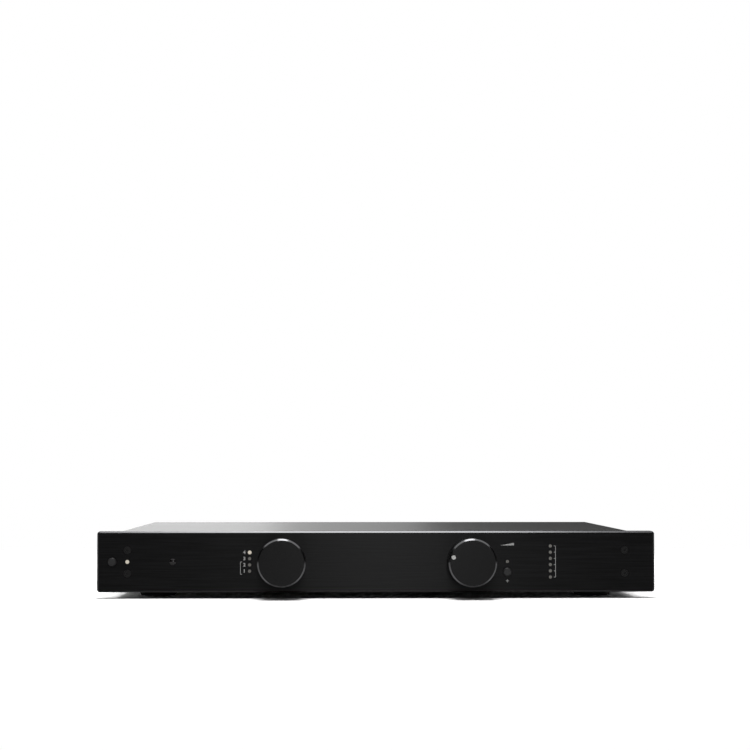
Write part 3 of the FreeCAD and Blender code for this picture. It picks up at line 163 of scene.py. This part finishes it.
black_oxide = finish("black_oxide", (0.004, 0.004, 0.004), (0.010, 0.010, 0.010), (0.34, 0.5), 0.0006,
                     relief=0.000006, specular=0.25)
dress(black_oxide, "panel_screws", "cover_screws", "rear_panel_screws", "connector_screws")

# ---------------------------------------------------------------------------------------
# Connectors: moulded housings, plated contacts, satin nickel shells, and phono sockets with
# cores and washers of pale resin.

moulding = finish("black_moulding", (0.014, 0.014, 0.014), (0.024, 0.024, 0.024), (0.38, 0.55), 0.0007,
                  relief=0.00002)
dress(moulding, "power_switch", "gain_switch", "selector_switch", "volume_pot", "mains_inlet",
      "mains_switch", "fuse_drawer", "toslink_housing", "toslink_flap", "xlr_inserts", "pocket_cover")

rocker_moulding = finish("rocker_moulding", (0.011, 0.011, 0.011), (0.017, 0.017, 0.017), (0.2, 0.34), 0.002,
                         relief=0.00001)
dress(rocker_moulding, "mains_rocker")

gold = finish("gold_plate", (0.72, 0.48, 0.16), (0.86, 0.62, 0.26), (0.14, 0.28), 0.0012,
              stretch=(1, 0.3, 1), relief=0.000004, metallic=1.0)
dress(gold, "rca_shells", "rca_contacts", "xlr_pins", "mains_inlet_blades")

nickel = finish("satin_nickel", (0.34, 0.33, 0.31), (0.5, 0.49, 0.46), (0.3, 0.45), 0.0009,
                relief=0.00002, metallic=1.0)
dress(nickel, "xlr_shells")

socket_resin = finish("socket_resin", (0.6, 0.59, 0.55), (0.74, 0.73, 0.69), (0.3, 0.5), 0.001,
                      relief=0.00001)
dress(socket_resin, "rca_insulators")

fuse_tube = finish("fuse_tube", (0.55, 0.56, 0.56), (0.7, 0.71, 0.71), (0.08, 0.2), 0.002,
                   relief=0.00001)
dress(fuse_tube, "fuse")

# ---------------------------------------------------------------------------------------
# Controls behind the panel: turned steel shafts, the volume control's motor on its plate,
# and a pair of acetal gears between them.

turned_steel = finish("turned_steel", (0.42, 0.42, 0.41), (0.6, 0.6, 0.58), (0.18, 0.36), 0.0006,
                      stretch=(1, 0.2, 1), relief=0.000005, metallic=1.0)
dress(turned_steel, "selector_shaft", "volume_shaft", "gear_plate", "volume_motor")

acetal = finish("acetal", (0.62, 0.61, 0.57), (0.72, 0.71, 0.67), (0.35, 0.5), 0.002, relief=0.00001)
dress(acetal, "volume_gear", "motor_pinion")

# ---------------------------------------------------------------------------------------
# Front panel: a thick aluminium plate, brushed lengthways and anodised black. Its front edge
# is chamfered after brushing, so the chamfer is smoother and catches the light.


def cut_edges(material, colour, roughness):
    """Makes the faces at 45 degrees to the front brighter, as a fine cut through the finish."""
    tree = material.node_tree
    shader = tree.nodes["Principled BSDF"]
    cut = tree.nodes.new("ShaderNodeBsdfPrincipled")
    cut.inputs["Base Color"].default_value = (*colour, 1)
    cut.inputs["Metallic"].default_value = 1.0
    geometry = tree.nodes.new("ShaderNodeNewGeometry")
    split = tree.nodes.new("ShaderNodeSeparateXYZ")
    slope = tree.nodes.new("ShaderNodeMath")
    slope.operation = "COMPARE"
    slope.inputs[1].default_value = -math.cos(math.radians(45))
    slope.inputs[2].default_value = 0.12
    wear = tree.nodes.new("ShaderNodeMapRange")
    wear.inputs["To Min"].default_value = roughness[0]
    wear.inputs["To Max"].default_value = roughness[1]
    choose = tree.nodes.new("ShaderNodeMixShader")
    tree.links.new(geometry.outputs["True Normal"], split.inputs["Vector"])
    tree.links.new(split.outputs["Y"], slope.inputs[0])
    tree.links.new(tree.nodes["Marks"].outputs["Fac"], wear.inputs["Value"])
    tree.links.new(wear.outputs["Result"], cut.inputs["Roughness"])
    tree.links.new(slope.outputs["Value"], choose.inputs["Fac"])
    tree.links.new(shader.outputs["BSDF"], choose.inputs[1])
    tree.links.new(cut.outputs["BSDF"], choose.inputs[2])
    tree.links.new(choose.outputs["Shader"], tree.nodes["Material Output"].inputs["Surface"])


def brushed(material, strength):
    """Stretches the highlight across the brush marks, which run along the panel."""
    tree = material.node_tree
    shader = tree.nodes["Principled BSDF"]
    shader.inputs["Anisotropic"].default_value = strength
    shader.inputs["Anisotropic Rotation"].default_value = 0.25
    direction = tree.nodes.new("ShaderNodeTangent")
    direction.direction_type = "RADIAL"
    direction.axis = "Z"
    tree.links.new(direction.outputs["Tangent"], shader.inputs["Tangent"])


anodised = finish("brushed_anodised", (0.0028, 0.0028, 0.003), (0.0085, 0.0085, 0.0092), (0.24, 0.46),
                  0.0009, stretch=(34, 1, 1), relief=0.00001, specular=0.12)
brushed(anodised, 0.75)
cut_edges(anodised, (0.09, 0.09, 0.093), (0.2, 0.3))
dress(anodised, "front_panel")
panel_low, panel_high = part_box("front_panel")
panel_face = panel_low.y
panel_middle = (panel_low.z + panel_high.z) / 2

# ---------------------------------------------------------------------------------------
# Buttons, the remote-control eye and the light pipes. The buttons are satin grey, the eye is
# deep red-black acrylic, and the pipes are frosted, with a painted highlight ring and a painted
# shaded rim; the power pipe and the top source are lit.

button_satin = finish("button_satin", (0.013, 0.013, 0.0135), (0.018, 0.018, 0.0185), (0.36, 0.44), 0.0005,
                      specular=0.4)
dress(button_satin, "power_button", "gain_button")

eye_acrylic = finish("eye_acrylic", (0.0015, 0.0008, 0.001), (0.003, 0.0012, 0.0018), (0.04, 0.09), 0.002)
dress(eye_acrylic, "ir_lens")

lamp_colour = (0.8, 0.74, 0.62, 1)
lamp_strength = 0.72
millimetre = 0.001
light_radius = 1.5 * millimetre
light_pitch = 5 * millimetre
single = 2.0


def middle(node):
    """Middle of a piece seen from the front, as x and z."""
    low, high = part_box(node)
    return (low.x + high.x) / 2, (low.z + high.z) / 2


source_x, source_z = middle("source_light_pipes")
rate_x, rate_z = middle("rate_light_pipes")
gain_x, gain_z = middle("gain_light_pipe")
power_x, power_z = middle("power_light_pipe")


def pipe_with_painted_rings(name, x, z, pitch, lit_above=None):
    """Frosted pipe: a grey core, a paler ring of painted highlight and a dark rim of painted shade round (x,
    z), and at each pitch from there.
    A pipe above the given height is lit."""
    material = finish(name, (0.2, 0.195, 0.185), (0.29, 0.285, 0.27), (0.25, 0.4), 0.0006)
    tree = material.node_tree
    shader = tree.nodes["Principled BSDF"]
    place = tree.nodes.new("ShaderNodeTexCoord")
    split = tree.nodes.new("ShaderNodeSeparateXYZ")
    across = tree.nodes.new("ShaderNodeMath")
    across.operation = "SUBTRACT"
    across.inputs[1].default_value = x
    up = tree.nodes.new("ShaderNodeMath")
    up.operation = "SUBTRACT"
    up.inputs[1].default_value = z
    nearest = tree.nodes.new("ShaderNodeMath")
    nearest.operation = "WRAP"
    nearest.inputs[1].default_value = pitch / 2
    nearest.inputs[2].default_value = -pitch / 2
    offset = tree.nodes.new("ShaderNodeCombineXYZ")
    radius = tree.nodes.new("ShaderNodeVectorMath")
    radius.operation = "LENGTH"
    share = tree.nodes.new("ShaderNodeMapRange")
    share.inputs["From Max"].default_value = light_radius
    # The ramp paints the pipe's face: a grey core, a paler ring that is a painted highlight, and a dark rim
    # that is painted shade.
    highlight_and_shade_ramp = tree.nodes.new("ShaderNodeValToRGB")
    stops = highlight_and_shade_ramp.color_ramp.elements
    stops[0].position = 0.15
    stops[0].color = (0.16, 0.155, 0.14, 1)
    stops[1].position = 0.86
    stops[1].color = (0.02, 0.02, 0.02, 1)
    painted_highlight_ring = stops.new(0.55)
    painted_highlight_ring.color = (0.42, 0.40, 0.36, 1)
    tree.links.new(place.outputs["Object"], split.inputs["Vector"])
    tree.links.new(split.outputs["X"], across.inputs[0])
    tree.links.new(split.outputs["Z"], up.inputs[0])
    tree.links.new(up.outputs["Value"], nearest.inputs[0])
    tree.links.new(across.outputs["Value"], offset.inputs["X"])
    tree.links.new(nearest.outputs["Value"], offset.inputs["Z"])
    tree.links.new(offset.outputs["Vector"], radius.inputs[0])
    tree.links.new(radius.outputs["Value"], share.inputs["Value"])
    tree.links.new(share.outputs["Result"], highlight_and_shade_ramp.inputs["Fac"])
    tree.links.new(highlight_and_shade_ramp.outputs["Color"], shader.inputs["Base Color"])
    if lit_above is not None:
        above = tree.nodes.new("ShaderNodeMath")
        above.operation = "GREATER_THAN"
        above.inputs[1].default_value = lit_above
        glow = tree.nodes.new("ShaderNodeEmission")
        glow.inputs["Color"].default_value = lamp_colour
        glow.inputs["Strength"].default_value = lamp_strength
        choose = tree.nodes.new("ShaderNodeMixShader")
        tree.links.new(split.outputs["Z"], above.inputs[0])
        tree.links.new(above.outputs["Value"], choose.inputs["Fac"])
        tree.links.new(shader.outputs["BSDF"], choose.inputs[1])
        tree.links.new(glow.outputs["Emission"], choose.inputs[2])
        tree.links.new(choose.outputs["Shader"], tree.nodes["Material Output"].inputs["Surface"])
    return material


dress(pipe_with_painted_rings("source_pipes", source_x, source_z + light_pitch / 2, light_pitch, panel_middle + light_pitch),
      "source_light_pipes")
dress(pipe_with_painted_rings("rate_pipes", rate_x, rate_z + light_pitch / 2, light_pitch), "rate_light_pipes")
dress(pipe_with_painted_rings("gain_pipe", gain_x, gain_z, single), "gain_light_pipe")
dress(pipe_with_painted_rings("power_pipe", power_x, power_z, single, 0.0), "power_light_pipe")

# ---------------------------------------------------------------------------------------
# Cover: folded steel, open below, with a fine black powder coat. Three low-headed screws on
# each side hold it to the tray.

cover_coat = finish("cover_coat", (0.012, 0.012, 0.012), (0.020, 0.020, 0.019), (0.34, 0.46), 0.0006,
                    relief=0.00002, specular=0.5)
dress(cover_coat, "top_cover")

# ---------------------------------------------------------------------------------------
# Knobs: turned from solid aluminium, anodised satin black, with a bright cut front chamfer.
# The volume knob has a white enamelled dot let into its face.

knob_anodised = finish("knob_anodised", (0.0022, 0.0022, 0.0024), (0.0035, 0.0035, 0.0038), (0.2, 0.25),
                       0.0004, specular=0.2)
cut_edges(knob_anodised, (0.13, 0.13, 0.134), (0.14, 0.24))
dress(knob_anodised, "selector_knob", "volume_knob")

enamel = finish("white_enamel", (0.74, 0.74, 0.72), (0.82, 0.82, 0.8), (0.25, 0.35), 0.001,
                relief=0.000005)
dress(enamel, "volume_pointer")

# ---------------------------------------------------------------------------------------
# Printed marks: thin white ink on the panel's face. Plain numerals stand beside the source
# lights, with a bracket at the lower two; the rest are a level wedge, a plus and a scale.

ink = finish("white_ink", (0.72, 0.72, 0.71), (0.82, 0.82, 0.81), (0.5, 0.65), 0.0004)
ink_film = 0.00003


def printed(name, outline, y=panel_face):
    """A flat patch of ink. Its outline is (x, z) in metres, anticlockwise seen from the front."""
    mesh = bpy.data.meshes.new(name)
    patch = bmesh.new()
    front = [patch.verts.new((x, y - ink_film, z)) for x, z in outline]
    back = [patch.verts.new((x, y, z)) for x, z in outline]
    patch.faces.new(front)
    patch.faces.new(list(reversed(back)))
    for i in range(len(outline)):
        j = (i + 1) % len(outline)
        patch.faces.new((front[j], front[i], back[i], back[j]))
    patch.normal_update()
    patch.to_mesh(mesh)
    patch.free()
    mark = bpy.data.objects.new(name, mesh)
    bpy.context.scene.collection.objects.link(mark)
    mesh.materials.append(ink)
    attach(mark, "chassis")
    return mark


def bar(name, x, z, width, height):
    """A straight printed line with its middle at (x, z)."""
    corners = [(-1, -1), (1, -1), (1, 1), (-1, 1)]
    return printed(name, [(x + side * width / 2, z + up * height / 2) for side, up in corners])


def numeral(text, x, z, height):
    """A printed figure with its middle at (x, z)."""
    cap_share = 0.7
    curve = bpy.data.curves.new("numeral_" + text, "FONT")
    curve.body = text
    curve.size = height / cap_share
    curve.extrude = ink_film / 2
    curve.offset = 0.0001
    curve.align_x = "CENTER"
    curve.align_y = "CENTER"
    letter = bpy.data.objects.new("numeral_outline", curve)
    letter.location = (x, panel_face - ink_film / 2, z)
    letter.rotation_euler = (math.radians(90), 0, 0)
    bpy.context.scene.collection.objects.link(letter)
    bpy.context.view_layer.update()
    mesh = bpy.data.meshes.new_from_object(letter.evaluated_get(bpy.context.evaluated_depsgraph_get()))
    mesh.transform(letter.matrix_world)
    bpy.data.objects.remove(letter)
    mark = bpy.data.objects.new("numeral_" + text, mesh)
    bpy.context.scene.collection.objects.link(mark)
    mesh.materials.clear()
    mesh.materials.append(ink)
    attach(mark, "chassis")
    return mark


numeral_x = source_x - 4.3 * millimetre
numeral_height = 2.7 * millimetre
for i in range(4):
    numeral(str(i + 1), numeral_x, panel_middle + (i - 1.5) * light_pitch, numeral_height)

line = 0.34 * millimetre
bracket_x = source_x - 7.4 * millimetre
bracket_top = panel_middle - 0.1 * millimetre
bracket_bottom = panel_middle - 10.0 * millimetre
bar("bracket_side", bracket_x, (bracket_top + bracket_bottom) / 2, line, bracket_top - bracket_bottom)
for name, z in (("bracket_top", bracket_top), ("bracket_bottom", bracket_bottom)):
    bar(name, bracket_x + 0.7 * millimetre, z, 1.4 * millimetre, line)

wedge_z = panel_middle + 14 * millimetre
wedge_half = 5.5 * millimetre
wedge_tip, wedge_end = gain_x - wedge_half, gain_x + wedge_half
printed("level_wedge", [(wedge_tip, wedge_z - millimetre), (wedge_end, wedge_z - millimetre),
                        (wedge_end, wedge_z + millimetre)])
plus_z = panel_middle - 15.5 * millimetre
plus_size = 2.6 * millimetre
printed("plus_sign", [(gain_x + a * plus_size / 2, plus_z + b * plus_size / 2) for a, b in (
    (-1, -0.13), (-0.13, -0.13), (-0.13, -1), (0.13, -1), (0.13, -0.13), (1, -0.13),
    (1, 0.13), (0.13, 0.13), (0.13, 1), (-0.13, 1), (-0.13, 0.13), (-1, 0.13))])

scale_x = rate_x + 4.2 * millimetre
bar("rate_scale", scale_x, panel_middle, line, 5 * light_pitch)
for i in range(6):
    bar("rate_tick_" + str(i + 1), scale_x - 0.7 * millimetre, panel_middle + (i - 2.5) * light_pitch,
        1.2 * millimetre, line)

# ---------------------------------------------------------------------------------------
# Studio: a pale table that fades into a white surround, a soft box above, and dark cards that
# keep the finish deep. The front and rear lights show only in what the surfaces mirror.

scene = bpy.context.scene
scene.view_settings.view_transform = "Standard"


def flat(name, width, depth, place, turn):
    """A rectangle of the studio, which isn't part of the object."""
    mesh = bpy.data.meshes.new(name)
    corners = [(-width / 2, -depth / 2, 0), (width / 2, -depth / 2, 0),
               (width / 2, depth / 2, 0), (-width / 2, depth / 2, 0)]
    mesh.from_pydata(corners, [], [(0, 1, 2, 3)])
    card = bpy.data.objects.new(name, mesh)
    card.location = place
    card.rotation_euler = [math.radians(angle) for angle in turn]
    scene.collection.objects.link(card)
    return card


table = flat("table_top", 8.0, 8.0, (0, 0, 0), (0, 0, 0))
table_white = bpy.data.materials.new("table_white")
table_white.use_nodes = True
tree = table_white.node_tree
tree.nodes["Principled BSDF"].inputs["Base Color"].default_value = (0.86, 0.86, 0.86, 1)
tree.nodes["Principled BSDF"].inputs["Roughness"].default_value = 0.9
tree.nodes["Principled BSDF"].inputs["Specular IOR Level"].default_value = 0.0
place = tree.nodes.new("ShaderNodeTexCoord")
distance = tree.nodes.new("ShaderNodeVectorMath")
distance.operation = "LENGTH"
fade = tree.nodes.new("ShaderNodeMapRange")
fade.interpolation_type = "SMOOTHSTEP"
fade.inputs["From Min"].default_value = 0.42
fade.inputs["From Max"].default_value = 0.95
rays = tree.nodes.new("ShaderNodeLightPath")
seen = tree.nodes.new("ShaderNodeMath")
seen.operation = "MULTIPLY"
brighter = tree.nodes.new("ShaderNodeBsdfDiffuse")
brighter.inputs["Color"].default_value = (2.2, 2.2, 2.2, 1)
nothing = tree.nodes.new("ShaderNodeBsdfTransparent")
only_seen = tree.nodes.new("ShaderNodeMixShader")
faded = tree.nodes.new("ShaderNodeMixShader")
tree.links.new(place.outputs["Object"], distance.inputs[0])
tree.links.new(distance.outputs["Value"], fade.inputs["Value"])
tree.links.new(fade.outputs["Result"], seen.inputs[0])
tree.links.new(rays.outputs["Is Camera Ray"], seen.inputs[1])
tree.links.new(rays.outputs["Is Camera Ray"], only_seen.inputs["Fac"])
tree.links.new(tree.nodes["Principled BSDF"].outputs["BSDF"], only_seen.inputs[1])
tree.links.new(brighter.outputs["BSDF"], only_seen.inputs[2])
tree.links.new(seen.outputs["Value"], faded.inputs["Fac"])
tree.links.new(only_seen.outputs["Shader"], faded.inputs[1])
tree.links.new(nothing.outputs["BSDF"], faded.inputs[2])
tree.links.new(faded.outputs["Shader"], tree.nodes["Material Output"].inputs["Surface"])
table.data.materials.append(table_white)

card_black = bpy.data.materials.new("card_black")
card_black.use_nodes = True
card_black.node_tree.nodes["Principled BSDF"].inputs["Base Color"].default_value = (0.01, 0.01, 0.01, 1)
card_black.node_tree.nodes["Principled BSDF"].inputs["Roughness"].default_value = 0.9
for name, width, height, place, turn in (
        ("front_card", 6.0, 2.4, (0, -2.6, 1.2), (90, 0, 0)),
        ("left_card", 3.0, 1.6, (-1.9, -0.6, 0.8), (90, 0, 90)),
        ("right_card", 3.0, 1.6, (1.9, -0.6, 0.8), (90, 0, 90)),
        ("rear_right_card", 2.7, 1.6, (1.5, 2.2, 0.8), (90, 0, 0))):
    card = flat(name, width, height, place, turn)
    card.visible_camera = False
    card.visible_shadow = False
    card.data.materials.append(card_black)


def soft_box(name, width, height, power, place, target, lights_all=True):
    """A rectangular light that points at its target, or one that is only mirrored."""
    light = bpy.data.lights.new(name, "AREA")
    light.shape = "RECTANGLE"
    light.size = width
    light.size_y = height
    light.energy = power
    lamp = bpy.data.objects.new(name, light)
    lamp.location = place
    lamp.rotation_euler = (Vector(target) - Vector(place)).to_track_quat("-Z", "Y").to_euler()
    lamp.visible_camera = False
    lamp.visible_diffuse = lights_all
    scene.collection.objects.link(lamp)


soft_box("top_box", 0.64, 1.1, 15.0, (-0.03, -0.1, 1.5), (-0.03, -0.1, 0))
soft_box("front_strip", 0.2, 0.9, 5.0, (0.05, -1.7, 0.5), (0, -0.1, 0.03), lights_all=False)
soft_box("rear_box", 1.6, 0.7, 6.5, (-0.9, 2.0, 0.42), (-0.1, 0.1, 0.05), lights_all=False)

world = bpy.data.worlds.new("surround")
scene.world = world
world.use_nodes = True
tree = world.node_tree
rays = tree.nodes.new("ShaderNodeLightPath")
bright = tree.nodes.new("ShaderNodeMath")
bright.operation = "MAXIMUM"
through = tree.nodes.new("ShaderNodeMath")
through.operation = "MAXIMUM"
strength = tree.nodes.new("ShaderNodeMapRange")
strength.inputs["To Min"].default_value = 0.34
strength.inputs["To Max"].default_value = 1.0
tree.links.new(rays.outputs["Is Camera Ray"], bright.inputs[0])
tree.links.new(rays.outputs["Is Glossy Ray"], bright.inputs[1])
tree.links.new(bright.outputs["Value"], through.inputs[0])
tree.links.new(rays.outputs["Is Transmission Ray"], through.inputs[1])
tree.links.new(through.outputs["Value"], strength.inputs["Value"])
tree.links.new(strength.outputs["Result"], tree.nodes["Background"].inputs["Strength"])
tree.nodes["Background"].inputs["Color"].default_value = (1, 1, 1, 1)

# ---------------------------------------------------------------------------------------
# Camera: a long lens just above the top of the case, a little left of its middle.

camera_distance = 1.414
camera_left = 0.0297
camera_height = 0.1027
camera_rise = 3.14
camera_turn = 1.15
lens = bpy.data.cameras.new("camera")
lens.sensor_width = 36.0
lens.lens = 83.8
lens.clip_end = 50.0
camera = bpy.data.objects.new("camera", lens)
camera.location = (-camera_left, panel_face - camera_distance, camera_height)
camera.rotation_euler = (math.radians(90 + camera_rise), 0, math.radians(-camera_turn))
scene.collection.objects.link(camera)
scene.camera = camera
